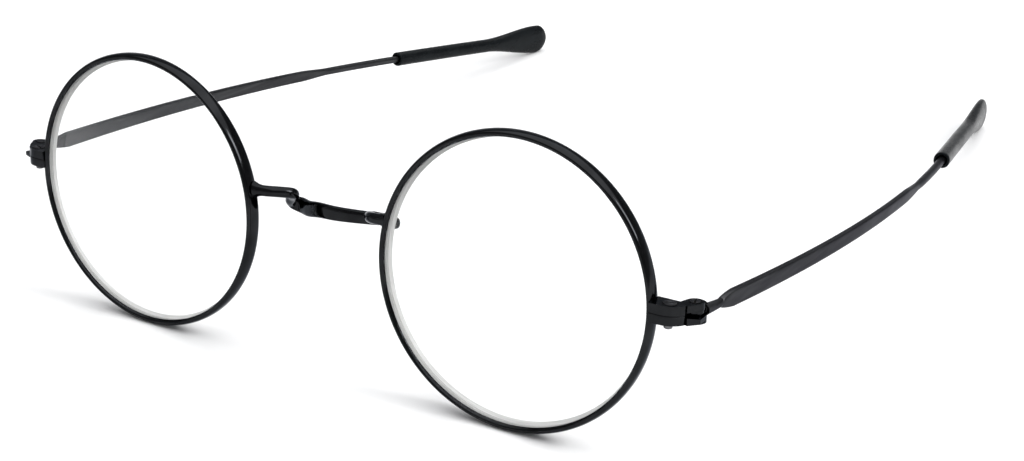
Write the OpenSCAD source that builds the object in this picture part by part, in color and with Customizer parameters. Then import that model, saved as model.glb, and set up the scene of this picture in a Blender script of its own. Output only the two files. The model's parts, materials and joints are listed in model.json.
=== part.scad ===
// Folding reading glasses: round wire front, saddle bridge, straight sides with
// plastic end tips. Left and right are the wearer's: left is +X. The front faces
// -Y, the sides run back along +Y, and Z = 0 is the table that the glasses rest on,
// on the lowest points of both rims and of both end tips.

/* [Front] */
// Diameter of the clear opening inside a rim
lens_opening = 41.2; // [38:0.2:44]
// Distance between the two rim centres
centre_distance = 66.2; // [64:0.2:70]
// Width of a rim's wire from the lens outwards
rim_width = 1.1; // [1:0.05:1.3]
// Depth of a rim's wire from front to back
rim_depth = 2.5; // [2.2:0.1:2.8]
// How much each rim turns back around the face, in degrees
face_form = 0.7; // [0:0.1:2]
// Thickness of a lens
lens_thickness = 2.8; // [2.2:0.1:3.2]

/* [Bridge] */
// Diameter of the bridge wire where it meets the rims
bridge_wire = 1.65; // [1.4:0.05:1.8]
// Height of the flattened band that rests on the nose
saddle_height = 2.2; // [1.8:0.1:2.6]
// Thickness of that band
saddle_thickness = 1.1; // [0.9:0.1:1.3]

/* [Sides] */
// Length of a side from the start of its blade to the end of its tip
side_length = 150; // [142:1:156]
// Length of the flattened blade
blade_length = 76; // [70:1:80]
// Height of the blade at the front end
blade_height = 2.45; // [2:0.05:2.6]
// Height of the blade at the back end
blade_end_height = 2.0; // [1.7:0.05:2.2]
// Thickness of the blade
blade_thickness = 1.15; // [1:0.05:1.3]
// Diameter of the wire behind the blade
side_wire = 1.45; // [1.3:0.05:1.6]
// Radius of the outward bow of a side
bow_radius = 352; // [340:1:370]
// Angle at which a side leaves its hinge, outward, in degrees
splay = 8; // [7.5:0.1:8.5]

/* [End tips] */
// Outer diameter of the plastic sleeve
sleeve_diameter = 2.9; // [2.7:0.1:3.1]
// Length of the whole end tip
sleeve_length = 52; // [48:1:54]
// Height of the paddle at the end
paddle_height = 6.4; // [5.6:0.1:7]
// Thickness of the paddle
paddle_thickness = 2.6; // [2:0.1:2.6]

/* [Hinges] */
// Lean of each hinge pin towards the nose, so that folded sides pass under the bridge
pin_lean = 3; // [2.5:0.1:3.5]
// Radius of a hinge screw's shank
pin_radius = 0.6; // [0.55:0.01:0.62]
// Radial running clearance of the side on its hinge screw
running_clearance = 0.05; // [0.03:0.01:0.08]

/* [Hidden] */
$fn = 64;

black_enamel = "#17181b";
dark_metal = "#2b2d31";
black_plastic = "#101214";
clear_glass = [0.85, 0.90, 0.92, 0.45];

// Rim: an oval wire with flat inner lips and a V groove between them.
// The front edge of its front lip lies in the plane Y = 0.
lip_radius = lens_opening / 2;
rim_outer = lip_radius + rim_width - 0.1;
ring_radius = rim_outer - rim_width / 2;
rim_y = 0.65;
rim_oval_power = 2.2;
groove_depth = 0.42;
groove_half_width = 0.5;
rim_x = centre_distance / 2;

// Lens: two nearly concentric spheres, so it hardly shifts what is behind it
front_curve = 110;
lens_front_y = -0.05;
bevel_clearance = 0.02;

// End block: the clamp halves that close the rim, seen from above
block_top = 2.75;
block_bottom = 0.05;
block_split = 1.4;
split_gap = 0.06;
block_start_x = 54.2;
block_front_y = -0.7;
block_back_y = 2.35;
block_corner = 3.2;
block_corner_x = 55.8;
block_end = [[59.0, 1.2], [57.3, 2.35]];
rim_screw = [56.6, 0.85];
rim_head_radius = 1.0;
hinge_head_radius = 0.8;
screw_head_seat = 0.3;
screw_head_proud = 0.12;
screw_slot = 0.3;
screw_slot_depth = 0.22;
rim_screw_tail = 0.75;

// Hinge, in its own frame: origin on the pin's axis, z along the pin
hinge_at = [59.0, 3.55];
hinge_z = 1.4;
upper_leaf_radius = 1.3;
lower_leaf_radius = 1.6;
tang_radius = 1.2;
tang_sweep = 2.4;
upper_leaf_z = 0.4;
lower_leaf_z = -0.35;
hinge_top = 1.35;
hinge_bottom = -1.35;
leaf_gap = 0.05;

// Side
side_start = [60.1, 9.2, 1.15];
neck_wire = 1.2;
neck_root = 1.6;
neck_back = 3.8;
straight_from = 97;
side_drop = 0.008;
side_droop = 0.00014;
blade_taper = 8;
blade_shoulder = 3;
tip_mouth = side_length - sleeve_length;
paddle_from = side_length - 22;
bore_gap = 0.28;

// Lean-back of the front: the line that touches the bottom of a rim and the round end
// of a paddle
rest_point = side_at(side_length - paddle_height / 2);
rest_back = rest_point[1] - rim_y;
rest_up = rest_point[2] + ring_radius;
rim_half = rim_width / 2;
lean = atan2(rest_up, rest_back) + asin((rim_half - paddle_height / 2) / norm([rest_back, rest_up]));
floor_z = ring_radius * cos(lean) + rim_y * sin(lean) + rim_half;
front_y = -ring_radius * sin(lean) + rim_y - rim_depth / 2;
tip_end = side_at(side_length);
back_y = tip_end[1] * cos(lean) + tip_end[2] * sin(lean);
middle_y = (front_y + back_y) / 2;

function unit(v) = v / norm(v);
function signed_power(x, p) = sign(x) * pow(abs(x), p);
function mix(a, b, t) = a + (b - a) * min(1, max(0, t));
function ease(t) = let (c = min(1, max(0, t))) c * c * (3 - 2 * c);

// Point of a side's centre line, u millimetres behind the start of its blade.
// A negative u is on the neck, which runs straight to the hinge.
function side_x(u) = u < straight_from
    ? tan(splay) * u - u * u / (2 * bow_radius)
    : side_x(straight_from - 0.001) + (u - straight_from) * (tan(splay) - straight_from / bow_radius);
function side_z(u) = -side_drop * u - side_droop * pow(max(0, u), 2);
function side_at(u) = side_start + [side_x(u), u, side_z(u)];

// Closed ring around point c, square to direction t: w wide, h high.
// Power 2 is an ellipse; higher powers are squarer.
function ring(c, t, w, h, power, sides) = let (
        across = unit(cross(t, [0, 0, 1])),
        along = unit(cross(across, t))
    ) [for (i = [0:sides - 1]) let (a = 360 * i / sides)
        c + across * w / 2 * signed_power(cos(a), 2 / power)
          + along * h / 2 * signed_power(sin(a), 2 / power)];

// Closed skin over a list of rings that all have the same number of points
module skin(rings) {
    sides = len(rings[0]);
    last = len(rings) - 1;
    polyhedron(
        points = [for (r = rings) for (p = r) p],
        faces = concat(
            [[for (i = [sides - 1:-1:0]) i]],
            [for (j = [0:last - 1]) for (i = [0:sides - 1]) let (
                k = (i + 1) % sides,
                a = j * sides
            ) each [[a + i, a + k, a + sides + k], [a + i, a + sides + k, a + sides + i]]],
            [[for (i = [0:sides - 1]) last * sides + i]]
        )
    );
}

// Leans the front back and stands the glasses on the table
module resting() {
    translate([0, -middle_y, floor_z])
        rotate([-lean, 0, 0])
            children();
}

// Moves from the right-hand rim's own frame: its axis is Y, its centre the origin
module at_rim() {
    translate([rim_x, 0, 0])
        rotate([0, 0, face_form])
            children();
}

module at_hinge() {
    translate([hinge_at[0], hinge_at[1], hinge_z])
        rotate([0, -pin_lean, 0])
            children();
}

module ring_of_revolution() {
    rotate([-90, 0, 0])
        rotate_extrude($fn = 180)
            children();
}

// Oval section of a rim's wire: X is the distance from the lens axis, Y runs back
module rim_section() {
    sides = 40;
    polygon([for (i = [0:sides - 1]) let (a = 360 * i / sides) [
        ring_radius + rim_width / 2 * signed_power(cos(a), 2 / rim_oval_power),
        rim_y + rim_depth / 2 * signed_power(sin(a), 2 / rim_oval_power)
    ]]);
}

module rim_envelope() {
    at_rim()
        ring_of_revolution()
            rim_section();
}

// V shape, pointing away from the lens
module groove_shape(half_width, depth) {
    polygon([[-1, -half_width], [0, -half_width], [depth, 0], [0, half_width], [-1, half_width]]);
}

module rim() {
    color(black_enamel)
        difference() {
            at_rim()
                ring_of_revolution()
                    difference() {
                        rim_section();
                        translate([lip_radius - 2, rim_y - 2])
                            square([2, 4]);
                        translate([lip_radius, rim_y])
                            groove_shape(groove_half_width, groove_depth);
                    }
            translate([rim_x + lip_radius - 1, -3, block_split - split_gap / 2])
                cube([4, 6, split_gap]);
        }
}

module lens() {
    color(clear_glass)
        at_rim()
            union() {
                intersection() {
                    rotate([-90, 0, 0])
                        translate([0, 0, -6])
                            cylinder(r = lip_radius - bevel_clearance, h = 12, $fn = 180);
                    difference() {
                        translate([0, lens_front_y - sphere_sag(front_curve) + front_curve, 0])
                            sphere(front_curve, $fn = 180);
                        translate([0, lens_front_y - sphere_sag(front_curve) + front_curve, 0])
                            sphere(front_curve - lens_thickness, $fn = 180);
                    }
                }
                ring_of_revolution()
                    translate([lip_radius - bevel_clearance, rim_y])
                        groove_shape(groove_half_width - 0.03, groove_depth - 0.03);
            }
}

// How far a sphere of radius r bulges across the lens opening
function sphere_sag(r) = r - sqrt(r * r - lip_radius * lip_radius);

// Outline of the end block seen from above: flat in front, turned back to the hinge
module block_outline() {
    difference() {
        union() {
            translate([block_start_x, block_front_y])
                square([block_corner_x - block_start_x, block_back_y - block_front_y]);
            intersection() {
                translate([block_corner_x, block_front_y + block_corner])
                    circle(block_corner);
                translate([block_corner_x - 0.01, block_front_y])
                    square([5, block_back_y - block_front_y]);
            }
        }
        polygon([block_end[0], block_end[1], [57.3, 6], [63, 6], [63, 1.2]]);
    }
}

module end_block(low, high) {
    color(black_enamel)
        difference() {
            translate([0, 0, low])
                linear_extrude(high - low)
                    block_outline();
            rim_envelope();
            translate([rim_screw[0], rim_screw[1], -5])
                cylinder(r = pin_radius, h = 10);
            translate([rim_screw[0], rim_screw[1], block_top - screw_head_seat])
                cylinder(r = rim_head_radius + 0.05, h = 5);
            at_hinge()
                translate([0, 0, lower_leaf_z])
                    cylinder(r = tang_sweep, h = upper_leaf_z - lower_leaf_z);
        }
}

// Slotted round head whose underside is at z = 0, on a shank that reaches down
module slotted_screw(head_radius, shank_length, turn) {
    head_height = screw_head_seat + screw_head_proud;
    color(dark_metal)
        difference() {
            union() {
                cylinder(r = head_radius, h = head_height);
                translate([0, 0, -shank_length])
                    cylinder(r = pin_radius, h = shank_length);
            }
            rotate([0, 0, turn])
                translate([-2, -screw_slot / 2, head_height - screw_slot_depth])
                    cube([4, screw_slot, 1]);
        }
}

module rim_screw_piece() {
    seat = block_top - screw_head_seat;
    translate([rim_screw[0], rim_screw[1], seat])
        slotted_screw(rim_head_radius, seat - block_bottom + rim_screw_tail, 25);
}

// Outline of a hinge leaf in the hinge frame, from the end of the block to the pin
module leaf_outline(radius) {
    circle(radius);
    polygon([block_end[0] - hinge_at, block_end[1] - hinge_at, [-radius, 0], [0, radius - 0.1], [radius, 0]]);
}

module front_hinge() {
    color(black_enamel)
        at_hinge()
            difference() {
                union() {
                    translate([0, 0, upper_leaf_z])
                        linear_extrude(hinge_top - upper_leaf_z)
                            leaf_outline(upper_leaf_radius);
                    translate([0, 0, hinge_bottom])
                        linear_extrude(lower_leaf_z - hinge_bottom)
                            leaf_outline(lower_leaf_radius);
                    translate([0, 0, lower_leaf_z - 0.6])
                        linear_extrude(0.6)
                            polygon([block_end[0] - hinge_at, [1.65, -1.75], [1.6, 0], [0, 0]]);
                    translate([0, 0, hinge_bottom])
                        linear_extrude(hinge_top - hinge_bottom)
                            difference() {
                                polygon([[-1.7, -1.2], [-0.85, -1.775], [-0.6, -1.3], [-1.3, -1.05]]);
                                circle(tang_radius + 0.12);
                            }
                }
                translate([0, 0, -5])
                    cylinder(r = pin_radius, h = 10);
                translate([0, 0, hinge_top - screw_head_seat])
                    cylinder(r = hinge_head_radius + 0.05, h = 5);
            }
}

module hinge_screw() {
    seat = hinge_top - screw_head_seat;
    at_hinge()
        translate([0, 0, seat])
            slotted_screw(hinge_head_radius, seat - hinge_bottom, 110);
}

// Tang that turns on the screw between the leaves, and the socket for the side's wire
module side_knuckle() {
    tang_height = upper_leaf_z - lower_leaf_z - 2 * leaf_gap;
    color(black_enamel)
        at_hinge()
            difference() {
                union() {
                    translate([0, 0, lower_leaf_z + leaf_gap])
                        linear_extrude(tang_height)
                            union() {
                                circle(tang_radius);
                                translate([-0.7, 0])
                                    square([1.4, 2.2]);
                            }
                    translate([0, lower_leaf_radius + 0.15, -0.05])
                        rotate([-90, 0, 0])
                            cylinder(r = neck_root / 2 + 0.15, h = 0.7);
                }
                translate([0, 0, -5])
                    cylinder(r = pin_radius + running_clearance, h = 10);
            }
}

// Height of the metal of a side, u behind the start of the blade
function side_high(u) = u < 0 ? mix(neck_root, neck_wire, 1 + u / neck_back)
    : u < blade_shoulder ? mix(neck_wire, blade_height, sqrt(u / blade_shoulder))
    : u < blade_length - blade_taper ? mix(blade_height, blade_end_height, u / (blade_length - blade_taper))
    : mix(blade_end_height, side_wire, ease((u - blade_length + blade_taper) / blade_taper));
function side_wide(u) = u < 0 ? mix(neck_root, neck_wire, 1 + u / neck_back)
    : u < blade_length ? mix(neck_wire, blade_thickness, u / blade_shoulder)
    : mix(blade_thickness, side_wire, (u - blade_length) / 3);
// Squareness of the section: round on the neck and the wire, nearly flat on the blade
function side_square(u) = u < 0 ? 2
    : u < blade_length - blade_taper ? mix(2, 5, u / blade_shoulder)
    : mix(5, 2, (u - blade_length + blade_taper) / blade_taper);

function side_ring(u, w, h, power, sides) =
    ring(side_at(u), side_at(u + 0.05) - side_at(u - 0.05), w, h, power, sides);

module side_wire_piece() {
    stations = concat(
        [for (i = [0:4]) -neck_back + i * 0.9],
        [for (i = [0:7]) blade_shoulder * i * i / 49],
        [for (u = [9:5:blade_length - blade_taper]) u],
        [for (u = [blade_length - blade_taper + 1:1.5:blade_length + 3]) u],
        [for (u = [blade_length + 8:5:tip_mouth + 24]) u]
    );
    color(dark_metal)
        skin([for (u = stations) side_ring(u, side_wide(u), side_high(u), side_square(u), 24)]);
}

// Outer size of the plastic tip: a tube that flattens into a rounded paddle
function paddle_part(u) = ease((u - paddle_from) / 18);
function tip_round(u) = let (left = side_length - u, r = paddle_height / 2)
    left >= r ? 1 : sqrt(max(0.0004, 1 - pow(1 - left / r, 2)));
function tip_high(u) = mix(sleeve_diameter, paddle_height, paddle_part(u)) * tip_round(u);
function tip_wide(u) = mix(sleeve_diameter, paddle_thickness, paddle_part(u)) * sqrt(tip_round(u));

module end_tip() {
    paddle_r = paddle_height / 2;
    bore_end = tip_mouth + 24.5;
    outside = concat(
        [for (a = [2:12:86]) side_length - paddle_r * (1 - cos(a))],
        [for (u = [side_length - paddle_r - 2:-2:paddle_from - 6]) u],
        [for (u = [paddle_from - 9:-5:tip_mouth + 2]) u],
        [tip_mouth]
    );
    inside = concat([for (u = [tip_mouth:4:bore_end]) u], [bore_end]);
    bore = side_wire + 2 * bore_gap;
    outer_end = [for (i = [len(outside) - 1:-1:0]) outside[i]];
    color(black_plastic)
        skin(concat(
            [for (i = [len(inside) - 1:-1:0]) let (u = inside[i])
                side_ring(u, mix(bore, side_wire, (u - tip_mouth) / 8), mix(bore, side_wire, (u - tip_mouth) / 8), 2, 24)],
            [for (u = outer_end) side_ring(u, tip_wide(u), tip_high(u), 2.2, 24)]
        ));
}

// The band is a little higher at its right end than at its left, per millimetre
saddle_taper = 0.02;
// Half of the bridge's centre line, from a rim to the middle of the nose. The wire is
// bent by hand: the fourth value is added to Z on the left and taken off on the right.
bridge_points = [
    [12.0, 0.9, 4.55, 0.1], [9.8, 1.15, 4.5, -0.1], [8.2, 2.1, 4.3, -0.25], [7.2, 3.75, 3.85, -0.3],
    [8.1, 5.2, 3.1, -0.1], [9.5, 6.3, 2.3, 0.25], [9.9, 7.4, 1.85, 0.5], [8.6, 7.9, 1.6, 0.62],
    [6.4, 6.8, 1.7, 0.52], [3.6, 5.6, 2.05, 0.22], [0, 5.0, 2.15, 0]
];
function left_point(p) = [p[0], p[1], p[2] + p[3]];
function right_point(p) = [-p[0], p[1], p[2] - p[3]];
// The whole line, with one extra point past each end for the curve
half_count = len(bridge_points);
bridge_line = concat(
    [left_point(bridge_points[0] * 2 - bridge_points[1])],
    [for (p = bridge_points) left_point(p)],
    [for (i = [half_count - 2:-1:0]) right_point(bridge_points[i])],
    [right_point(bridge_points[0] * 2 - bridge_points[1])]
);
// Point at t on a smooth curve through the points of line
function on_curve(line, t) = let (
        i = min(len(line) - 4, floor(t)),
        f = t - i,
        a = line[i], b = line[i + 1], c = line[i + 2], d = line[i + 3]
    ) 0.5 * (2 * b + (c - a) * f + (2 * a - 5 * b + 4 * c - d) * f * f + (3 * b - a - 3 * c + d) * f * f * f);
bridge_spans = 2 * half_count - 2;
// 0 at a rim, 1 on the flattened band
function band_part(t) = let (from_rim = min(t, bridge_spans - t)) ease((from_rim - 5) / 2.5);
function rim_flare(t) = let (from_rim = min(t, bridge_spans - t)) 1 + 0.6 * pow(max(0, 1 - from_rim / 0.75), 2);

module bridge() {
    steps = 4;
    last = bridge_spans * steps;
    color(black_enamel)
        skin([for (i = [0:last]) let (
                t = i / steps,
                here = on_curve(bridge_line, t),
                ahead = on_curve(bridge_line, min(bridge_spans, t + 0.02)) - on_curve(bridge_line, max(0, t - 0.02)),
                band = saddle_height * (1 - saddle_taper * here[0]),
                w = mix(bridge_wire, saddle_thickness, band_part(t)) * rim_flare(t),
                h = mix(bridge_wire, band, band_part(t)) * rim_flare(t)
            ) ring(here, ahead, w, h, mix(2, 3, band_part(t)), 20)]);
}

// Places a left-hand piece, or its mirror image on the right
module left() {
    resting()
        children();
}
module right() {
    resting()
        mirror([1, 0, 0])
            children();
}

module left_rim() { left() rim(); }
module right_rim() { right() rim(); }
module left_lens() { left() lens(); }
module right_lens() { right() lens(); }
module left_end_block_upper() { left() end_block(block_split + split_gap / 2, block_top); }
module right_end_block_upper() { right() end_block(block_split + split_gap / 2, block_top); }
module left_end_block_lower() { left() end_block(block_bottom, block_split - split_gap / 2); }
module right_end_block_lower() { right() end_block(block_bottom, block_split - split_gap / 2); }
module left_rim_screw() { left() rim_screw_piece(); }
module right_rim_screw() { right() rim_screw_piece(); }
module left_front_hinge() { left() front_hinge(); }
module right_front_hinge() { right() front_hinge(); }
module left_hinge_screw() { left() hinge_screw(); }
module right_hinge_screw() { right() hinge_screw(); }
module left_side_knuckle() { left() side_knuckle(); }
module right_side_knuckle() { right() side_knuckle(); }
module left_side_wire() { left() side_wire_piece(); }
module right_side_wire() { right() side_wire_piece(); }
module left_end_tip() { left() end_tip(); }
module right_end_tip() { right() end_tip(); }
module saddle_bridge() { left() bridge(); }

saddle_bridge();  // bridge
left_rim();
right_rim();
left_lens();
right_lens();
left_end_block_upper();
right_end_block_upper();
left_end_block_lower();
right_end_block_lower();
left_rim_screw();
right_rim_screw();
left_front_hinge();
right_front_hinge();
left_hinge_screw();
right_hinge_screw();
left_side_knuckle();
right_side_knuckle();
left_side_wire();
right_side_wire();
left_end_tip();
right_end_tip();
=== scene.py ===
"""Looks of a pair of round wire reading glasses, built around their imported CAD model.

Lengths here are millimetres in the front's own frame: X to the wearer's left, Y back and
Z up. Its origin is midway between the rims, RIM_Y in front of the middle of their wire.
place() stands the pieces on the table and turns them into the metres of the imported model.
Left-hand pieces are modelled, and right-hand pieces are their mirror images.
"""
import json
import math

import bmesh
import bpy
from mathutils import Matrix, Vector


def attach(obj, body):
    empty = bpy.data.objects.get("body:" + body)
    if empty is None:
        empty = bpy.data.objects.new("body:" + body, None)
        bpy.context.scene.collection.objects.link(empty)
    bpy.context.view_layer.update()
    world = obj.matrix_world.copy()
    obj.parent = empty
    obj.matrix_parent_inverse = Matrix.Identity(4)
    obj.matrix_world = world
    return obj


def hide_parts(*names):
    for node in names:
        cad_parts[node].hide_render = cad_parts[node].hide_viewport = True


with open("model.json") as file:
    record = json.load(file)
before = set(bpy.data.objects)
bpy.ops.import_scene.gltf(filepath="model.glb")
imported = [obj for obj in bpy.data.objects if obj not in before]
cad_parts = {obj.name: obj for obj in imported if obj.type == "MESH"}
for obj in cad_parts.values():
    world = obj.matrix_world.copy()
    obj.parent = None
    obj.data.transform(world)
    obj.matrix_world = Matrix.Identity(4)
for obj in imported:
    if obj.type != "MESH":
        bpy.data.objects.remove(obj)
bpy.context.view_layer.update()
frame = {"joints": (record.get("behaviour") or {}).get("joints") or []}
MM = 0.001
X = Vector((1, 0, 0))
Z = Vector((0, 0, 1))

# ---------------------------------------------------------------- dimensions
# Rims: oval wire with flat inner lips and a V groove. FACE_FORM swings the outer side back.
RIM_X = 33.1
LENS_RADIUS = 20.6
RIM_RADIUS = 21.05
RIM_WIDTH = 1.1
RIM_DEPTH = 2.5
RIM_Y = 0.65
RIM_OVAL = 2.2
GROOVE_DEPTH = 0.42
GROOVE_HALF = 0.5
FACE_FORM = math.radians(0.7)

# Lenses: curved, almost evenly thick, with a bevel that fills the rim's groove.
LENS_THICK = 2.8
LENS_CURVE = 110.0
LENS_FRONT = -0.05
LENS_GAP = 0.02
BEVEL_GAP = 0.03
BACK_CORNER = 0.55

# End blocks: an upper and a lower clamp half, which end in a slope towards the hinge.
BLOCK_TOP = 2.75
BLOCK_BOTTOM = 0.05
BLOCK_SPLIT = 1.4
SPLIT_GAP = 0.06
BLOCK_START = 54.2
BLOCK_FRONT = -0.7
BLOCK_BACK = 2.35
BLOCK_CORNER = 3.2
CORNER_X = 55.8
BLOCK_TURN = -21.15
BLOCK_END = (Vector((59.0, 1.2)), Vector((57.3, 2.35)))
BLOCK_EDGE = 0.12

# Screws: SCREW_SHANK, RIM_HEAD and HINGE_HEAD are radii.
RIM_SCREW = (56.6, 0.85)
SCREW_SHANK = 0.6
SHANK_CHAMFER = 0.12
SCREW_TAIL = 0.75
RIM_HEAD = 1.0
HINGE_HEAD = 0.8
HEAD_SEAT = 0.3
HEAD_PROUD = 0.12
HEAD_CHAMFER = 0.02
HEAD_ROUND = 0.1
HEAD_CROWN = 0.02
SLOT_WIDTH = 0.3
SLOT_DEPTH = 0.22
SLOT_LIP = 0.03
SLOT_REACH = 2.0
SCREW_EDGE = 0.025
RIM_SCREW_TURN = 25
HINGE_SCREW_TURN = 110

# Hinges: flat points and heights from HINGE_TOP down are in the pin's frame. UPPER_LEAF,
# LOWER_LEAF, TANG and TANG_SWEEP are radii about the pin.
PIN = Vector((59.0, 3.55, 1.4))
PIN_LEAN = math.radians(3)
UPPER_LEAF = 1.3
LOWER_LEAF = 1.6
HINGE_TOP = 1.35
UPPER_LEAF_Z = 0.4
LOWER_LEAF_Z = -0.35
HINGE_BOTTOM = -1.35
HINGE_PLATE = [(1.65, -1.75), (1.6, 0), (0, 0)]
PLATE_THICK = 0.6
HINGE_WEB = [(-1.7, -1.2), (-0.85, -1.775), (-0.6, -1.3), (-1.3, -1.05)]
LEAF_EDGE = 0.06
TANG = 1.2
TANG_TAIL = [(0.7, 1.1), (0.7, 2.2), (-0.7, 2.2), (-0.7, 1.1)]
TANG_SWEEP = 2.4
TANG_EDGE = 0.05
LEAF_GAP = 0.05
SOCKET_WALL = 0.15
SOCKET_LENGTH = 0.7
SOCKET_CHAMFER = 0.1
SOCKET_PLACE = (0, LOWER_LEAF + 0.15, -0.05)

# Slack round a screw's shank in the block, the leaves and the tang, and round its head.
BLOCK_SLACK = 0.03
LEAF_SLACK = 0.02
TANG_SLACK = 0.05
SEAT_SLACK = 0.05
# How far cutters reach past what they cut, and how deep joined bodies overlap.
CUT_REACH = 5
OVERLAP = 0.01

# Sides: thin neck, flat blade and round wire. Places along one are measured back
# from the start of its blade.
SIDE_START = Vector((60.1, 9.2, 1.15))
SIDE_LENGTH = 150.0
BLADE_LENGTH = 76.0
BLADE_HIGH = 2.45
BLADE_END_HIGH = 2.0
BLADE_THICK = 1.15
BLADE_SHOULDER = 3.0
BLADE_TAPER = 8.0
BLADE_SQUARE = 5.0
SIDE_WIRE = 1.45
WIRE_BLEND = 3.0
NECK_WIRE = 1.2
NECK_ROOT = 1.6
NECK_BACK = 3.8
SPLAY = math.radians(8)
BOW_RADIUS = 352.0
STRAIGHT_FROM = 97.0
SIDE_DROP = 0.008
SIDE_DROOP = 0.00014

# End tips: a sleeve that flattens into a paddle.
SLEEVE = 2.9
SLEEVE_LENGTH = 52.0
TIP_MOUTH = SIDE_LENGTH - SLEEVE_LENGTH
MOUTH_ROUND = 0.22
TIP_OVAL = 2.2
PADDLE_HIGH = 6.4
PADDLE_THICK = 2.6
PADDLE_FROM = SIDE_LENGTH - 22
PADDLE_EASE = 18
BORE_GAP = 0.28
BORE_FUNNEL = 8
WIRE_IN_TIP = 24.0
BORE_DEPTH = 24.4

# Bridge: round wire with a flattened band on the nose and a brazed swelling at each rim.
BRIDGE_WIRE = 1.65
SADDLE_HIGH = 2.2
SADDLE_THICK = 1.1
SADDLE_SQUARE = 3.0
SADDLE_TAPER = 0.02
SADDLE_FROM = 5
SADDLE_EASE = 2.5
BRAZE_SPANS = 2
BRAZE_REACH = 1.7
BRAZE_RISE = 1.0
BRAZE_POWER = 2.5
# Half of the bridge's centre line: x, y, z, and the hand bend that is added to z on
# the left and taken off on the right.
BRIDGE_HALF = [
    (12.0, 0.9, 4.55, 0.1), (9.8, 1.15, 4.5, -0.1), (8.2, 2.1, 4.3, -0.25),
    (7.2, 3.75, 3.85, -0.3), (8.1, 5.2, 3.1, -0.1), (9.5, 6.3, 2.3, 0.25),
    (9.9, 7.4, 1.85, 0.5), (8.6, 7.9, 1.6, 0.62), (6.4, 6.8, 1.7, 0.52),
    (3.6, 5.6, 2.05, 0.22), (0.0, 5.0, 2.15, 0.0),
]
ROUND = 2.0

# The front leans back as the left hinge's axis does, and its pin is where the joint is.
fold = next(j for j in frame["joints"] if j["name"] == "left_side_fold")
LEAN = math.atan2(fold["axis"][1], fold["axis"][2])
TURN = Matrix.Rotation(-LEAN, 4, "X")
RESTING = Matrix.Translation(Vector(fold["pos_m"])) @ TURN @ Matrix.Scale(MM, 4)
RESTING = RESTING @ Matrix.Translation(-PIN)
MIRROR = Matrix.Scale(-1, 4, X)
HINGE = Matrix.Translation(PIN) @ Matrix.Rotation(-PIN_LEAN, 4, "Y")
RIM = Matrix.Translation((RIM_X, 0, 0)) @ Matrix.Rotation(FACE_FORM, 4, "Z")
Z_TO_BACK = Matrix.Rotation(math.radians(-90), 4, "X")

# The left and the right body that a pair of pieces rides on.
FRONT = ("front", "front")
SIDES = ("left_side", "right_side")


# ---------------------------------------------------------------- small helpers
def mix(a, b, t):
    """From a to b as t goes from 0 to 1, and no further."""
    return a + (b - a) * min(1.0, max(0.0, t))


def ease(t):
    """From 0 to 1 as t does, level at both ends."""
    t = min(1.0, max(0.0, t))
    return t * t * (3 - 2 * t)


def signed_power(value, power):
    """A power of the value's size, with the value's sign."""
    return math.copysign(abs(value) ** power, value)


def steps(first, last, count):
    """Evenly spaced values, both ends among them."""
    return [first + (last - first) * i / (count - 1) for i in range(count)]


def oval_ring(centre, along, width, height, power, sides):
    """A closed ring square to along: width across it and height upwards."""
    across = along.cross(Z).normalized()
    up = across.cross(along).normalized()
    ring = []
    for i in range(sides):
        angle = 2 * math.pi * i / sides
        side = signed_power(math.cos(angle), 2 / power) * width / 2
        rise = signed_power(math.sin(angle), 2 / power) * height / 2
        ring.append(centre + across * side + up * rise)
    return ring


def skin_mesh(rings):
    """A mesh through rings of equal count, capped at both ends."""
    mesh = bmesh.new()
    rows = [[mesh.verts.new(p) for p in ring] for ring in rings]
    sides = len(rings[0])
    for low, high in zip(rows, rows[1:]):
        for i in range(sides):
            k = (i + 1) % sides
            mesh.faces.new((low[i], low[k], high[k], high[i]))
    mesh.faces.new(rows[0])
    mesh.faces.new(rows[-1])
    bmesh.ops.recalc_face_normals(mesh, faces=mesh.faces)
    return mesh


def lathe_mesh(profile, sides):
    """Profile points (radius, height) turned about Z. Its ends lie on the axis."""
    mesh = bmesh.new()
    first = mesh.verts.new((0, 0, profile[0][1]))
    last = mesh.verts.new((0, 0, profile[-1][1]))
    turn = [2 * math.pi * i / sides for i in range(sides)]
    rows = []
    for radius, height in profile[1:-1]:
        ring = [(radius * math.cos(a), radius * math.sin(a), height) for a in turn]
        rows.append([mesh.verts.new(p) for p in ring])
    for i in range(sides):
        k = (i + 1) % sides
        mesh.faces.new((first, rows[0][i], rows[0][k]))
        mesh.faces.new((last, rows[-1][k], rows[-1][i]))
        for low, high in zip(rows, rows[1:]):
            mesh.faces.new((low[i], low[k], high[k], high[i]))
    bmesh.ops.recalc_face_normals(mesh, faces=mesh.faces)
    return mesh


def cylinder_mesh(radius, low, high, sides=40):
    """A plain cylinder about Z, to cut with."""
    return lathe_mesh([(0, low), (radius, low), (radius, high), (0, high)], sides)


def slab_mesh(outline, low, high):
    """A flat outline, extruded from height low to height high."""
    mesh = bmesh.new()
    floor = [mesh.verts.new((p[0], p[1], low)) for p in outline]
    roof = [mesh.verts.new((p[0], p[1], high)) for p in outline]
    mesh.faces.new(floor)
    mesh.faces.new(roof)
    for i in range(len(outline)):
        k = (i + 1) % len(outline)
        mesh.faces.new((floor[i], floor[k], roof[k], roof[i]))
    bmesh.ops.recalc_face_normals(mesh, faces=mesh.faces)
    return mesh


def arc(centre, radius, start, end, count):
    """Points on an arc, from angle start to angle end in degrees."""
    points = []
    for angle in steps(math.radians(start), math.radians(end), count):
        points.append((centre[0] + radius * math.cos(angle), centre[1] + radius * math.sin(angle)))
    return points


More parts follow.
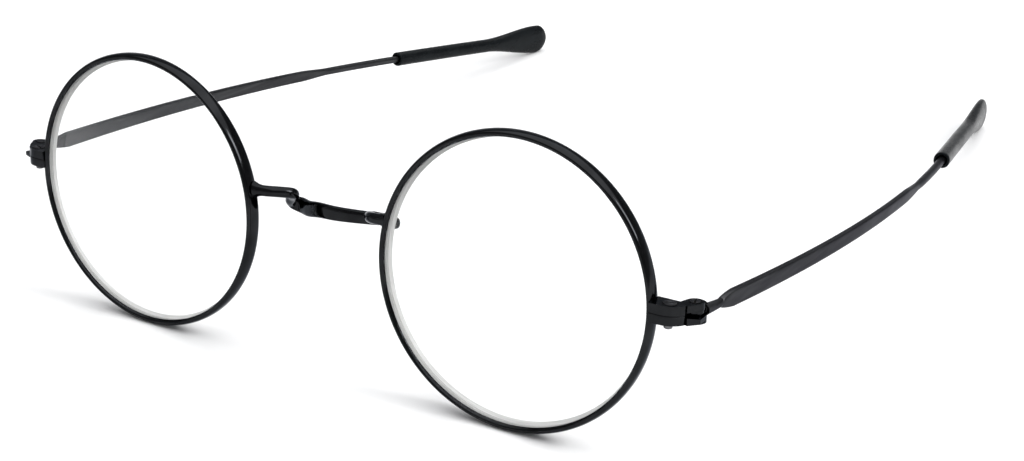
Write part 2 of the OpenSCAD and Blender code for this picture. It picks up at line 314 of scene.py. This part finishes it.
def convex_outline(points):
    """The convex outline around flat points, anticlockwise."""
    points = sorted(set((round(p[0], 5), round(p[1], 5)) for p in points))

    def half(ordered):
        chain = []
        for p in ordered:
            while len(chain) > 1:
                (ax, ay), (bx, by) = chain[-2:]
                if (bx - ax) * (p[1] - ay) - (by - ay) * (p[0] - ax) > 0:
                    break
                chain.pop()
            chain.append(p)
        return chain[:-1]

    return half(points) + half(reversed(points))


def scratch_object(mesh, turn=Matrix.Identity(4)):
    """A throwaway object, in millimetres, that modifiers can work on."""
    data = bpy.data.meshes.new("scratch")
    mesh.to_mesh(data)
    mesh.free()
    data.transform(turn)
    item = bpy.data.objects.new("scratch", data)
    bpy.context.scene.collection.objects.link(item)
    return item


def combine(base, others, operation):
    """Adds each of the other objects to base, or takes it away, when base is settled."""
    for other in others:
        step = base.modifiers.new("step", "BOOLEAN")
        step.operation = operation
        step.solver = "EXACT"
        step.object = other


def settled(item, helpers=(), bevel=0.0, segments=3):
    """The item's mesh with its modifiers applied and, if asked, its sharp edges rounded."""
    if bevel:
        soft = item.modifiers.new("bevel", "BEVEL")
        soft.width = bevel
        soft.segments = segments
        soft.limit_method = "ANGLE"
        soft.angle_limit = math.radians(35)
        soft.use_clamp_overlap = True
    bpy.context.view_layer.update()
    shown = item.evaluated_get(bpy.context.evaluated_depsgraph_get())
    data = bpy.data.meshes.new_from_object(shown)
    for spent in [item, *helpers]:
        old = spent.data
        bpy.data.objects.remove(spent)
        bpy.data.meshes.remove(old)
    return data


def place(node, data, body, materials, mirrored=False, smooth=50):
    """Stands a millimetre mesh on the table as the piece that replaces a CAD node.

    Edges sharper than smooth degrees stay sharp.
    """
    name = node + "_look"
    data = data.copy() if mirrored else data
    data.transform(RESTING @ MIRROR if mirrored else RESTING)
    if mirrored:
        data.flip_normals()
    data.shade_smooth()
    data.set_sharp_from_angle(angle=math.radians(smooth))
    data.name = name
    for material in materials:
        data.materials.append(material)
    piece = bpy.data.objects.new(name, data)
    bpy.context.scene.collection.objects.link(piece)
    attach(piece, body)
    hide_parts(node)


def both_sides(part, data, bodies, materials, smooth=50):
    """The mirror image of a left-hand piece, and then the piece itself."""
    place("right_" + part, data, bodies[1], materials, True, smooth)
    place("left_" + part, data, bodies[0], materials, False, smooth)


# ---------------------------------------------------------------- materials
class Look:
    """A node material under construction."""

    def __init__(self, name):
        self.material = bpy.data.materials.new(name)
        self.material.use_nodes = True
        self.nodes = self.material.node_tree.nodes
        self.links = self.material.node_tree.links
        self.shader = self.nodes["Principled BSDF"]
        self.output = self.nodes["Material Output"]
        self.place = self.nodes.new("ShaderNodeTexCoord").outputs["Object"]

    def set(self, **values):
        """Sets shader sockets, which are named with underscores for spaces."""
        for key, value in values.items():
            self.shader.inputs[key.replace("_", " ")].default_value = value

    def link(self, a, b):
        self.links.new(a, b)

    def stretched(self, scale):
        """Texture coordinates scaled by a different amount along each axis."""
        node = self.nodes.new("ShaderNodeMapping")
        node.inputs["Scale"].default_value = scale
        self.link(self.place, node.inputs["Vector"])
        return node.outputs["Vector"]

    def noise(self, scale, detail, rough=0.5, vector=None):
        """Cloudy noise around 0.5, finer as the scale grows."""
        node = self.nodes.new("ShaderNodeTexNoise")
        node.inputs["Scale"].default_value = scale
        node.inputs["Detail"].default_value = detail
        node.inputs["Roughness"].default_value = rough
        self.link(vector or self.place, node.inputs["Vector"])
        return node.outputs["Fac"]

    def ramp(self, value, low, high, start=0.0, end=1.0):
        """From start to end as the value goes from low to high."""
        node = self.nodes.new("ShaderNodeMapRange")
        node.inputs["From Min"].default_value = low
        node.inputs["From Max"].default_value = high
        node.inputs["To Min"].default_value = start
        node.inputs["To Max"].default_value = end
        self.link(value, node.inputs["Value"])
        return node.outputs["Result"]

    def product(self, a, b):
        node = self.nodes.new("ShaderNodeMath")
        node.operation = "MULTIPLY"
        self.link(a, node.inputs[0])
        self.link(b, node.inputs[1])
        return node.outputs[0]

    def bump(self, height, distance, strength, normal=None):
        node = self.nodes.new("ShaderNodeBump")
        node.inputs["Strength"].default_value = strength
        node.inputs["Distance"].default_value = distance
        self.link(height, node.inputs["Height"])
        if normal:
            self.link(normal, node.inputs["Normal"])
        return node.outputs["Normal"]

    def worn_edges(self):
        """1 on the sharpest convex edges, 0 elsewhere."""
        node = self.nodes.new("ShaderNodeNewGeometry")
        return self.ramp(node.outputs["Pointiness"], 0.53, 0.60)

    def colour(self, factor, first, second):
        """Colours the surface from first to second as the factor goes from 0 to 1."""
        node = self.nodes.new("ShaderNodeMix")
        node.data_type = "RGBA"
        node.inputs["A"].default_value = (*first, 1)
        node.inputs["B"].default_value = (*second, 1)
        self.link(factor, node.inputs["Factor"])
        self.link(node.outputs["Result"], self.shader.inputs["Base Color"])

    def roughen(self, value, start, end):
        """Roughness from start to end over the middle of a noise's values."""
        self.link(self.ramp(value, 0.3, 0.7, start, end), self.shader.inputs["Roughness"])

    def relief(self, normal):
        """Shades the surface by a bump's normal."""
        self.link(normal, self.shader.inputs["Normal"])


def black_enamel():
    """Glossy stove enamel: faint orange peel, hazy patches and a blue-grey sheen."""
    look = Look("black_enamel")
    patches = look.ramp(look.noise(220, 3), 0.35, 0.7)
    look.colour(patches, (0.014, 0.0145, 0.0155), (0.023, 0.0238, 0.0252))
    look.roughen(look.noise(900, 4), 0.07, 0.16)
    peel = look.bump(look.noise(1700, 2), 0.00001, 0.5)
    look.relief(look.bump(look.noise(300, 2), 0.00002, 0.35, peel))
    look.set(Metallic=1.0, Specular_Tint=(0.6, 0.61, 0.63, 1))
    return look.material


def side_metal():
    """Satin black finish over drawn steel, with fine streaks along the side."""
    look = Look("side_metal")
    streaks = look.noise(60, 4, 0.6, look.stretched((26, 1.0, 26)))
    look.colour(look.ramp(streaks, 0.3, 0.7), (0.033, 0.0335, 0.0355), (0.059, 0.060, 0.0625))
    look.roughen(look.noise(90, 3), 0.26, 0.42)
    grain = look.bump(streaks, 0.00002, 0.5)
    look.relief(look.bump(look.noise(1400, 2), 0.00001, 0.4, grain))
    look.set(Metallic=1.0, Specular_Tint=(0.5, 0.5, 0.52, 1))
    return look.material


def screw_metal():
    """Blackened screw steel, rubbed brighter on its edges and grained by the slotting."""
    look = Look("screw_metal")
    rubbing = look.ramp(look.noise(1200, 4), 0.35, 0.6, 0.2, 1)
    wear = look.product(look.worn_edges(), rubbing)
    look.colour(wear, (0.045, 0.0455, 0.048), (0.13, 0.13, 0.135))
    look.roughen(look.noise(2500, 3), 0.24, 0.4)
    look.relief(look.bump(look.noise(3500, 2), 0.00001, 0.5))
    look.set(Metallic=1.0, Specular_Tint=(0.5, 0.5, 0.52, 1))
    return look.material


def painted_slot_shade():
    """Painted shade for a screw slot: a near-black matt colour, mottled a little, on its floor and
    walls.
    """
    look = Look("painted_slot_shade")
    shade_mottle = look.ramp(look.noise(3000, 3), 0.35, 0.65)
    look.colour(shade_mottle, (0.003, 0.003, 0.003), (0.010, 0.009, 0.008))
    look.relief(look.bump(look.noise(4000, 2), 0.00001, 0.5))
    look.set(Roughness=0.8, Specular_IOR_Level=0.05)
    return look.material


def black_plastic():
    """Polished black acetate tip with faint handling marks."""
    look = Look("black_plastic")
    marks = look.noise(140, 5, 0.65, look.stretched((3, 1, 3)))
    look.colour(look.ramp(marks, 0.4, 0.7), (0.004, 0.0048, 0.0055), (0.007, 0.0085, 0.0095))
    look.roughen(marks, 0.2, 0.36)
    look.relief(look.bump(look.noise(500, 2), 0.00001, 0.2))
    look.set(Specular_IOR_Level=0.06, Specular_Tint=(0.85, 0.95, 1.0, 1))
    return look.material


def lens_clear():
    """Polished optical plastic, which lets lamps through so that it casts no dark shadow."""
    look = Look("lens_clear")
    look.roughen(look.noise(40, 2), 0.0, 0.012)
    look.set(Base_Color=(0.995, 1.0, 0.998, 1), Transmission_Weight=1.0, IOR=1.5)
    look.set(Specular_Tint=(0.35, 0.36, 0.38, 1))
    through = look.nodes.new("ShaderNodeBsdfTransparent")
    path = look.nodes.new("ShaderNodeLightPath")
    choose = look.nodes.new("ShaderNodeMixShader")
    look.link(path.outputs["Is Shadow Ray"], choose.inputs["Fac"])
    look.link(look.shader.outputs["BSDF"], choose.inputs[1])
    look.link(through.outputs["BSDF"], choose.inputs[2])
    look.link(choose.outputs["Shader"], look.output.inputs["Surface"])
    return look.material


def ground_lens(name, dark, light):
    """Ground part of a lens: matt and pale, with the fine rings that the wheel leaves."""
    look = Look(name)
    rings = look.noise(160, 3, 0.5, look.stretched((1, 30, 1)))
    look.colour(look.ramp(rings, 0.3, 0.7), dark, light)
    look.roughen(look.noise(1500, 3), 0.5, 0.7)
    look.relief(look.bump(look.noise(2500, 3), 0.00001, 0.6))
    look.set(Specular_IOR_Level=0.2)
    return look.material


def table_top():
    """Matt white table."""
    look = Look("table_top")
    look.colour(look.ramp(look.noise(14, 4), 0.3, 0.7), (0.885, 0.885, 0.885), (0.9, 0.9, 0.9))
    look.relief(look.bump(look.noise(900, 3), 0.00003, 0.25))
    look.set(Roughness=0.75, Specular_IOR_Level=0.15)
    return look.material


ENAMEL = black_enamel()
SIDE_METAL = side_metal()
SCREW_METAL = screw_metal()
# Near-black matt colour for the screw slots: painted shade.
SLOT_SHADE = painted_slot_shade()
PLASTIC = black_plastic()
LENS_CLEAR = lens_clear()
# One ground finish in two tones: darker on the bevelled edge as painted shade, paler on the back corner
# as painted light.
LENS_EDGE_PAINTED_SHADE = ground_lens("lens_edge_painted_shade", (0.34, 0.34, 0.335), (0.46, 0.46, 0.455))
LENS_CORNER_PAINTED_LIGHT = ground_lens("lens_corner_painted_light", (0.62, 0.62, 0.61), (0.76, 0.76, 0.75))


# ---------------------------------------------------------------- front
def rim_section():
    """The rim's section: its radius and its place from front to back, point by point."""
    outside = []
    for angle in steps(-math.pi, math.pi, 97)[:-1]:
        radius = RIM_RADIUS + RIM_WIDTH / 2 * signed_power(math.cos(angle), 2 / RIM_OVAL)
        depth = RIM_Y + RIM_DEPTH / 2 * signed_power(math.sin(angle), 2 / RIM_OVAL)
        if radius > LENS_RADIUS:
            outside.append((radius, depth))
    groove = [
        (LENS_RADIUS, RIM_Y + GROOVE_HALF),
        (LENS_RADIUS + GROOVE_DEPTH, RIM_Y),
        (LENS_RADIUS, RIM_Y - GROOVE_HALF),
    ]
    lip_part = (RIM_RADIUS - LENS_RADIUS) * 2 / RIM_WIDTH
    lip = RIM_DEPTH / 2 * (1 - lip_part ** RIM_OVAL) ** (1 / RIM_OVAL)
    return [(LENS_RADIUS, RIM_Y - lip), *outside, (LENS_RADIUS, RIM_Y + lip), *groove]


def rim_piece():
    """Oval wire with flat inner lips and a V groove, split where the end block clamps it."""
    section = rim_section()
    split = math.asin(BLOCK_SPLIT / RIM_RADIUS)
    gap = SPLIT_GAP / 2 / RIM_RADIUS
    rings = []
    for turn in steps(split + gap, split + 2 * math.pi - gap, 289):
        rings.append([Vector((r * math.cos(turn), y, r * math.sin(turn))) for r, y in section])
    data = settled(scratch_object(skin_mesh(rings), RIM))
    both_sides("rim", data, FRONT, [ENAMEL], 45)


def lens_piece():
    """Two nearly concentric spheres, a ground edge with a V bevel, and a ground back corner."""
    edge = LENS_RADIUS - LENS_GAP
    corner = edge - BACK_CORNER
    sag = LENS_CURVE - math.sqrt(LENS_CURVE ** 2 - LENS_RADIUS ** 2)
    middle = LENS_FRONT - sag + LENS_CURVE
    inner = LENS_CURVE - LENS_THICK
    front = [(r, middle - math.sqrt(LENS_CURVE ** 2 - r * r)) for r in steps(0, edge, 31)]
    back = [(r, middle - math.sqrt(inner ** 2 - r * r)) for r in steps(corner, 0, 31)]
    half = GROOVE_HALF - BEVEL_GAP
    bevel = [
        (edge, RIM_Y - half),
        (edge + GROOVE_DEPTH - BEVEL_GAP, RIM_Y),
        (edge, RIM_Y + half),
        (edge, back[0][1] - BACK_CORNER),
    ]
    mesh = lathe_mesh(front + bevel + back, 240)
    data = settled(scratch_object(mesh, RIM @ Z_TO_BACK))
    # Faces of the back corner take the paler copy, which is painted light, and faces of the bevelled
    # edge take the darker copy, which is painted shade.
    for face in data.polygons:
        spots = [RIM.inverted() @ data.vertices[i].co for i in face.vertices]
        inmost = min(math.hypot(p.x, p.z) for p in spots)
        face.material_index = (inmost > corner - 0.01) + (inmost > edge - 0.01)
    both_sides("lens", data, FRONT, [LENS_CLEAR, LENS_CORNER_PAINTED_LIGHT, LENS_EDGE_PAINTED_SHADE], 20)


def bridge_point(t):
    """Point at t on a smooth curve through the bridge's points, left end first."""
    left = [Vector((x, y, z + bend)) for x, y, z, bend in BRIDGE_HALF]
    right = [Vector((-x, y, z - bend)) for x, y, z, bend in reversed(BRIDGE_HALF[:-1])]
    line = left + right
    line = [line[0] * 2 - line[1], *line, line[-1] * 2 - line[-2]]
    i = min(len(line) - 4, int(math.floor(t)))
    f = t - i
    a, b, c, d = line[i:i + 4]
    bend = 2 * b + (c - a) * f + (2 * a - 5 * b + 4 * c - d) * f * f
    return 0.5 * (bend + (3 * b - a - 3 * c + d) * f ** 3)


def braze(here, spans_in):
    """How much the bridge swells at a point that is spans_in from its nearer end."""
    if spans_in >= BRAZE_SPANS:
        return 0.0
    away = math.hypot(abs(here.x) - RIM_X, here.z) - RIM_RADIUS - RIM_WIDTH / 2
    return BRAZE_RISE * max(0.0, 1 - max(0.0, away) / BRAZE_REACH) ** BRAZE_POWER


def bridge_piece():
    """Round wire that loops behind each rim and flattens into the band on the nose."""
    spans = 2 * len(BRIDGE_HALF) - 2
    nudge = 0.02
    rings = []
    for t in steps(0, spans, spans * 10 + 1):
        here = bridge_point(t)
        along = bridge_point(min(spans, t + nudge)) - bridge_point(max(0, t - nudge))
        spans_in = min(t, spans - t)
        band = ease((spans_in - SADDLE_FROM) / SADDLE_EASE)
        swell = braze(here, spans_in)
        wide = mix(BRIDGE_WIRE, SADDLE_THICK, band) + swell / 4
        high = mix(BRIDGE_WIRE, SADDLE_HIGH * (1 - SADDLE_TAPER * here.x), band) + swell
        rings.append(oval_ring(here, along, wide, high, mix(ROUND, SADDLE_SQUARE, band), 32))
    data = settled(scratch_object(skin_mesh(rings)))
    place("bridge", data, "front", [ENAMEL])


def block_outline():
    """The end block from above: flat in front, turned back to the hinge."""
    corner = (CORNER_X, BLOCK_FRONT + BLOCK_CORNER)
    points = [(BLOCK_START, BLOCK_BACK), (BLOCK_START, BLOCK_FRONT)]
    points += arc(corner, BLOCK_CORNER, -90, BLOCK_TURN, 16)
    return points + [tuple(BLOCK_END[1])]


def end_block_piece(part, low, high):
    """One clamp half, bored for its screw and cut clear of the tang's sweep."""
    at_screw = Matrix.Translation((*RIM_SCREW, 0))
    hole = cylinder_mesh(SCREW_SHANK + BLOCK_SLACK, -CUT_REACH, 2 * CUT_REACH)
    seat = cylinder_mesh(RIM_HEAD + SEAT_SLACK, BLOCK_TOP - HEAD_SEAT, CUT_REACH)
    sweep = cylinder_mesh(TANG_SWEEP, LOWER_LEAF_Z, UPPER_LEAF_Z, 64)
    block = scratch_object(slab_mesh(block_outline(), low, high))
    cuts = [scratch_object(hole, at_screw), scratch_object(seat, at_screw), scratch_object(sweep, HINGE)]
    combine(block, cuts, "DIFFERENCE")
    data = settled(block, cuts, BLOCK_EDGE)
    both_sides(part, data, FRONT, [ENAMEL])


def screw_profile(radius, shank):
    """Outline of a cheese-head screw from its tip to the middle of its crowned head."""
    top = HEAD_SEAT + HEAD_PROUD
    profile = [
        (0, -shank),
        (SCREW_SHANK - SHANK_CHAMFER, -shank),
        (SCREW_SHANK, -shank + SHANK_CHAMFER),
        (SCREW_SHANK, 0),
        (radius - HEAD_CHAMFER, 0),
        (radius, HEAD_CHAMFER),
    ]
    for angle in steps(math.pi / 2, 0, 6):
        inward = HEAD_ROUND * (1 - math.sin(angle))
        down = HEAD_ROUND * (1 - math.cos(angle))
        profile.append((radius - inward, top - down))
    return profile + [(radius / 2, top + 0.75 * HEAD_CROWN), (0, top + HEAD_CROWN)]


def screw_piece(part, radius, shank, turn, seat_place):
    """Slotted screw whose head sits on z = 0, with painted shade on its slot's floor and walls."""
    top = HEAD_SEAT + HEAD_PROUD
    floor = top - SLOT_DEPTH
    edge = SLOT_WIDTH / 2
    outline = [(-SLOT_REACH, -edge), (SLOT_REACH, -edge), (SLOT_REACH, edge), (-SLOT_REACH, edge)]
    screw = scratch_object(lathe_mesh(screw_profile(radius, shank), 48))
    slot = slab_mesh(outline, floor, top + 1)
    cutter = scratch_object(slot, Matrix.Rotation(math.radians(turn), 4, "Z"))
    combine(screw, [cutter], "DIFFERENCE")
    data = settled(screw, [cutter], SCREW_EDGE, 2)
    # The slot's floor and its walls below the lip take the second material, a near-black painted shade.
    for face in data.polygons:
        inside = math.hypot(face.center.x, face.center.y) < radius - 0.01
        face.material_index = int(inside and floor - 0.01 < face.center.z < top - SLOT_LIP)
    data.transform(seat_place)
    both_sides(part, data, FRONT, [SCREW_METAL, SLOT_SHADE], 35)


def leaf(radius, low, high):
    """A hinge leaf in the hinge's frame, from the end of the block round the pin."""
    ends = [tuple(p - PIN.xy) for p in BLOCK_END]
    return slab_mesh(convex_outline(arc((0, 0), radius, -60, 180, 40) + ends), low, high)


def front_hinge_piece():
    """Two leaves joined by the web that the end block carries, bored for the pin."""
    plate = [tuple(BLOCK_END[0] - PIN.xy), *HINGE_PLATE]
    base = scratch_object(leaf(UPPER_LEAF, UPPER_LEAF_Z, HINGE_TOP))
    joined = [
        scratch_object(leaf(LOWER_LEAF, HINGE_BOTTOM, LOWER_LEAF_Z)),
        scratch_object(slab_mesh(plate, LOWER_LEAF_Z - PLATE_THICK, LOWER_LEAF_Z + OVERLAP)),
        scratch_object(slab_mesh(HINGE_WEB, HINGE_BOTTOM + OVERLAP, HINGE_TOP - OVERLAP)),
    ]
    cuts = [
        scratch_object(cylinder_mesh(SCREW_SHANK + LEAF_SLACK, -CUT_REACH, CUT_REACH)),
        scratch_object(cylinder_mesh(HINGE_HEAD + SEAT_SLACK, HINGE_TOP - HEAD_SEAT, CUT_REACH)),
    ]
    combine(base, joined, "UNION")
    combine(base, cuts, "DIFFERENCE")
    data = settled(base, joined + cuts, LEAF_EDGE)
    data.transform(HINGE)
    both_sides("front_hinge", data, FRONT, [ENAMEL])


# ---------------------------------------------------------------- sides
def side_x(u):
    """How far the centre line is to the left of its start: splayed, bowed, then straight."""
    bowed = min(u, STRAIGHT_FROM)
    slope = math.tan(SPLAY) - STRAIGHT_FROM / BOW_RADIUS
    return math.tan(SPLAY) * bowed - bowed * bowed / (2 * BOW_RADIUS) + (u - bowed) * slope


def side_at(u):
    """Point of a side's centre line, u behind the start of its blade."""
    drop = SIDE_DROP * u + SIDE_DROOP * max(0.0, u) ** 2
    return SIDE_START + Vector((side_x(u), u, -drop))


def side_ring(u, wide, high, power, sides=32):
    """A ring of the given size and squareness round a side's centre line."""
    along = side_at(u + 0.05) - side_at(u - 0.05)
    return oval_ring(side_at(u), along, wide, high, power, sides)


def side_section(u):
    """Width, height and squareness of the metal of a side."""
    if u < 0:
        root = mix(NECK_ROOT, NECK_WIRE, 1 + u / NECK_BACK)
        return root, root, ROUND
    taper_from = BLADE_LENGTH - BLADE_TAPER
    if u < BLADE_SHOULDER:
        high = mix(NECK_WIRE, BLADE_HIGH, math.sqrt(u / BLADE_SHOULDER))
    elif u < taper_from:
        high = mix(BLADE_HIGH, BLADE_END_HIGH, u / taper_from)
    else:
        high = mix(BLADE_END_HIGH, SIDE_WIRE, ease((u - taper_from) / BLADE_TAPER))
    if u < BLADE_LENGTH:
        wide = mix(NECK_WIRE, BLADE_THICK, u / BLADE_SHOULDER)
    else:
        wide = mix(BLADE_THICK, SIDE_WIRE, (u - BLADE_LENGTH) / WIRE_BLEND)
    if u < taper_from:
        return wide, high, mix(ROUND, BLADE_SQUARE, u / BLADE_SHOULDER)
    return wide, high, mix(BLADE_SQUARE, ROUND, (u - taper_from) / BLADE_TAPER)


def side_stations():
    """Places for a side's rings, closest together where its section changes."""
    taper_from = BLADE_LENGTH - BLADE_TAPER
    neck = steps(-NECK_BACK, -0.2, 10)
    shoulder = [BLADE_SHOULDER * (i / 14) ** 2 for i in range(15)]
    blade = steps(BLADE_SHOULDER + 1, taper_from - 1, 34)
    taper = steps(taper_from, BLADE_LENGTH + WIRE_BLEND, 23)
    wire = steps(BLADE_LENGTH + WIRE_BLEND + 2, TIP_MOUTH + WIRE_IN_TIP, 20)
    return neck + shoulder + blade + taper + wire


def side_wire_piece():
    """Thin neck, flattened blade and round wire that runs into the end tip."""
    rings = [side_ring(u, *side_section(u), 48) for u in side_stations()]
    data = settled(scratch_object(skin_mesh(rings)))
    both_sides("side_wire", data, SIDES, [SIDE_METAL])


def knuckle_piece():
    """Tang that turns between the leaves, with the socket that holds the side's wire."""
    radius = NECK_ROOT / 2 + SOCKET_WALL
    profile = [
        (0, 0),
        (radius - SOCKET_CHAMFER, 0),
        (radius, SOCKET_CHAMFER),
        (radius, SOCKET_LENGTH - SOCKET_CHAMFER),
        (radius - SOCKET_CHAMFER, SOCKET_LENGTH),
        (0, SOCKET_LENGTH),
    ]
    outline = convex_outline(arc((0, 0), TANG, -216, 36, 36) + TANG_TAIL)
    tang = scratch_object(slab_mesh(outline, LOWER_LEAF_Z + LEAF_GAP, UPPER_LEAF_Z - LEAF_GAP))
    socket = scratch_object(lathe_mesh(profile, 40), Matrix.Translation(SOCKET_PLACE) @ Z_TO_BACK)
    bore = scratch_object(cylinder_mesh(SCREW_SHANK + TANG_SLACK, -CUT_REACH, CUT_REACH))
    combine(tang, [socket], "UNION")
    combine(tang, [bore], "DIFFERENCE")
    data = settled(tang, [socket, bore], TANG_EDGE)
    data.transform(HINGE)
    both_sides("side_knuckle", data, SIDES, [ENAMEL])


def tip_section(u):
    """Outer width and height of the plastic tip, which is rounded at its very end."""
    left = SIDE_LENGTH - u
    radius = PADDLE_HIGH / 2
    end = 1.0 if left >= radius else math.sqrt(max(0.0004, 1 - (1 - left / radius) ** 2))
    flat = ease((u - PADDLE_FROM) / PADDLE_EASE)
    return mix(SLEEVE, PADDLE_THICK, flat) * math.sqrt(end), mix(SLEEVE, PADDLE_HIGH, flat) * end


def end_tip_piece():
    """Sleeve with an open mouth, which flattens into a rounded paddle."""
    radius = PADDLE_HIGH / 2
    outside = []
    for angle in steps(math.radians(2), math.radians(86), 22):
        outside.append(SIDE_LENGTH - radius * (1 - math.cos(angle)))
    outside += steps(SIDE_LENGTH - radius - 1, TIP_MOUTH + 0.8, 44)
    rings = [side_ring(u, *tip_section(u), TIP_OVAL) for u in outside]
    for angle in steps(0, math.pi / 2, 6):
        mouth = SLEEVE - 2 * MOUTH_ROUND * (1 - math.cos(angle))
        u = TIP_MOUTH + MOUTH_ROUND * (1 - math.sin(angle))
        rings.append(side_ring(u, mouth, mouth, TIP_OVAL))
    bore = SIDE_WIRE + 2 * BORE_GAP
    rings.append(side_ring(TIP_MOUTH, bore + 0.1, bore + 0.1, ROUND))
    for u in steps(TIP_MOUTH + 0.08, TIP_MOUTH + BORE_DEPTH, 16):
        hole = mix(bore, SIDE_WIRE, (u - TIP_MOUTH) / BORE_FUNNEL)
        rings.append(side_ring(u, hole, hole, ROUND))
    data = settled(scratch_object(skin_mesh(rings)))
    both_sides("end_tip", data, SIDES, [PLASTIC])


def screws():
    """The screw that clamps each rim, and the one that is each hinge's pin."""
    rim_seat = BLOCK_TOP - HEAD_SEAT
    rim_shank = rim_seat - BLOCK_BOTTOM + SCREW_TAIL
    at_rim = Matrix.Translation((*RIM_SCREW, rim_seat))
    screw_piece("rim_screw", RIM_HEAD, rim_shank, RIM_SCREW_TURN, at_rim)
    hinge_seat = HINGE_TOP - HEAD_SEAT
    at_hinge = HINGE @ Matrix.Translation((0, 0, hinge_seat))
    screw_piece("hinge_screw", HINGE_HEAD, hinge_seat - HINGE_BOTTOM, HINGE_SCREW_TURN, at_hinge)


rim_piece()
lens_piece()
bridge_piece()
end_block_piece("end_block_upper", BLOCK_SPLIT + SPLIT_GAP / 2, BLOCK_TOP)
end_block_piece("end_block_lower", BLOCK_BOTTOM, BLOCK_SPLIT - SPLIT_GAP / 2)
screws()
front_hinge_piece()
side_wire_piece()
knuckle_piece()
end_tip_piece()


# ---------------------------------------------------------------- table, light and camera
def table():
    """A large pale table, in metres, whose far parts rise softly so that no horizon shows."""
    size = 7.0
    count = 56
    level_radius = 1.6
    lift = 0.35
    mesh = bmesh.new()
    grid = []
    for i in range(count + 1):
        row = []
        for j in range(count + 1):
            x = size * (i / count - 0.5)
            y = size * (j / count - 0.5)
            far = max(0.0, math.hypot(x, y) - level_radius)
            row.append(mesh.verts.new((x, y, lift * far * far)))
        grid.append(row)
    for i in range(count):
        for j in range(count):
            mesh.faces.new((grid[i][j], grid[i + 1][j], grid[i + 1][j + 1], grid[i][j + 1]))
    data = bpy.data.meshes.new("table")
    mesh.to_mesh(data)
    mesh.free()
    data.shade_smooth()
    data.materials.append(table_top())
    piece = bpy.data.objects.new("table", data)
    bpy.context.scene.collection.objects.link(piece)


def soft_light(name, position, aim, size, power):
    """A rectangular lamp: metres and watts."""
    data = bpy.data.lights.new(name, "AREA")
    data.shape = "RECTANGLE"
    data.size, data.size_y = size
    data.energy = power
    lamp = bpy.data.objects.new(name, data)
    lamp.location = position
    lamp.rotation_euler = (Vector(aim) - Vector(position)).to_track_quat("-Z", "Y").to_euler()
    bpy.context.scene.collection.objects.link(lamp)


def studio():
    """Pale surroundings, darker towards the horizon, with a wide lamp and a small window."""
    world = bpy.data.worlds.new("studio")
    bpy.context.scene.world = world
    world.use_nodes = True
    nodes = world.node_tree.nodes
    links = world.node_tree.links
    direction = nodes.new("ShaderNodeTexCoord")
    split = nodes.new("ShaderNodeSeparateXYZ")
    ramp = nodes.new("ShaderNodeValToRGB")
    low_end, high_end = ramp.color_ramp.elements
    low_end.position = 0.0
    low_end.color = (0.25, 0.255, 0.265, 1)
    high_end.position = 0.9
    high_end.color = (0.8, 0.81, 0.83, 1)
    links.new(direction.outputs["Generated"], split.inputs["Vector"])
    links.new(split.outputs["Z"], ramp.inputs["Fac"])
    links.new(ramp.outputs["Color"], nodes["Background"].inputs["Color"])
    nodes["Background"].inputs["Strength"].default_value = 0.6
    soft_light("overhead", (0.1, 0.15, 1.1), (0, 0, 0), (2.2, 1.9), 21)
    soft_light("window", (0.8, 0.1, 0.6), (0, -0.05, 0.02), (0.32, 0.42), 5.0)


def camera():
    """A view from the front, turned, raised and rolled about a point beside the left rim."""
    azimuth = math.radians(29.96)
    rise = math.radians(21.5)
    roll = math.radians(2.92)
    target = Vector((33.67, 0, -4.56))
    distance = 221.8
    outward = Vector((math.sin(azimuth), -math.cos(azimuth), 0))
    back = outward * math.cos(rise) + Z * math.sin(rise)
    level = Vector((math.cos(azimuth), math.sin(azimuth), 0))
    upright = back.cross(level)
    right = level * math.cos(roll) + upright * math.sin(roll)
    up = upright * math.cos(roll) - level * math.sin(roll)
    axes = Matrix((right, up, back)).transposed().to_4x4()
    data = bpy.data.cameras.new("camera")
    data.sensor_width = 36.0
    data.lens = 56.93
    data.shift_y = 0.085
    data.clip_start = 0.01
    eye = bpy.data.objects.new("camera", data)
    eye.matrix_world = Matrix.Translation(RESTING @ (target + back * distance)) @ TURN @ axes
    bpy.context.scene.collection.objects.link(eye)
    bpy.context.scene.camera = eye
    bpy.context.scene.view_settings.view_transform = "Standard"


table()
studio()
camera()
